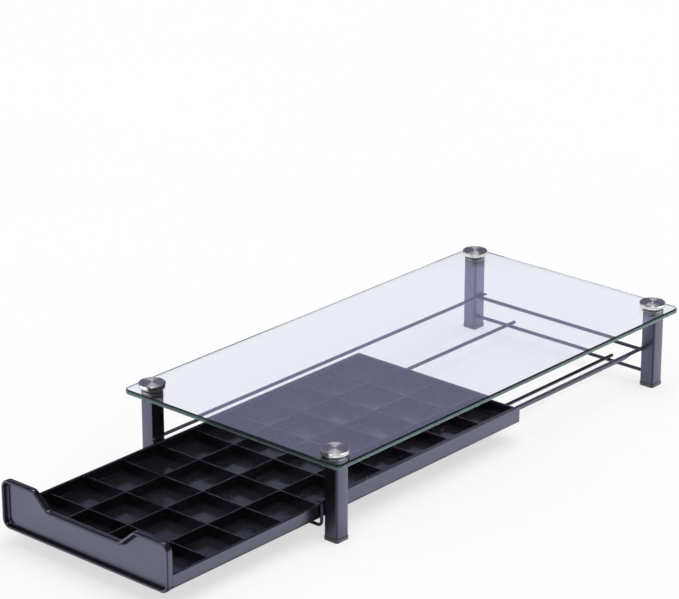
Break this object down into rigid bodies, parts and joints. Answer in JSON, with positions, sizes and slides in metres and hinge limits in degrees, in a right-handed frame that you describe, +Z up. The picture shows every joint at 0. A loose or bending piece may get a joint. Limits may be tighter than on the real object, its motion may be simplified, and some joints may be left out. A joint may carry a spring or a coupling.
{
  "type": "coffee pod drawer",
  "caption": "Low glass-topped riser on slim square legs with a sliding sheet-steel drawer divided into cells for coffee pods.",
  "frame": {"origin": "centre of the bounding box at its bottom, with the drawer open as in the picture", "axes": "+X to the right seen from the front, +Y to the rear along the drawer's travel, +Z up; the drawer opens towards -Y"},
  "size_m": [0.2268, 0.5906, 0.0755],
  "materials": {
    "frame_coat": "semi-gloss black coat",
    "drawer_coat": "semi-gloss black coat",
    "divider_coat": "semi-gloss black coat",
    "foot_plastic": "matt black",
    "glass": "clear tempered, ground edge",
    "gasket": "soft clear grey",
    "cap_steel": "fine turned",
    "spacer_steel": "bright",
    "insert_steel": "plain"
  },
  "bodies": {
    "stand": {"leg_front_left": "frame_coat", "leg_front_right": "frame_coat", "leg_rear_left": "frame_coat", "leg_rear_right": "frame_coat", "foot_front_left": "foot_plastic", "foot_front_right": "foot_plastic", "foot_rear_left": "foot_plastic", "foot_rear_right": "foot_plastic", "leg_inserts": "insert_steel", "glass_spacers": "spacer_steel", "glass_top": "glass", "cap_gaskets": "gasket", "glass_caps": "cap_steel", "side_rail_left": "frame_coat", "side_rail_right": "frame_coat", "rear_upper_bar": "frame_coat", "rear_lower_bar": "frame_coat", "front_cradle": "frame_coat", "runner_left": "frame_coat", "runner_right": "frame_coat"},
    "drawer": {"drawer_pan": "drawer_coat", "front_panel": "drawer_coat", "cross_dividers": "divider_coat", "long_dividers": "divider_coat"}
  },
  "joints": [
    {"name": "drawer_slide", "type": "slide", "parent": "stand", "child": "drawer", "axis": [0, -1, 0], "range_m": [-0.156, 0.144]}
  ]
}
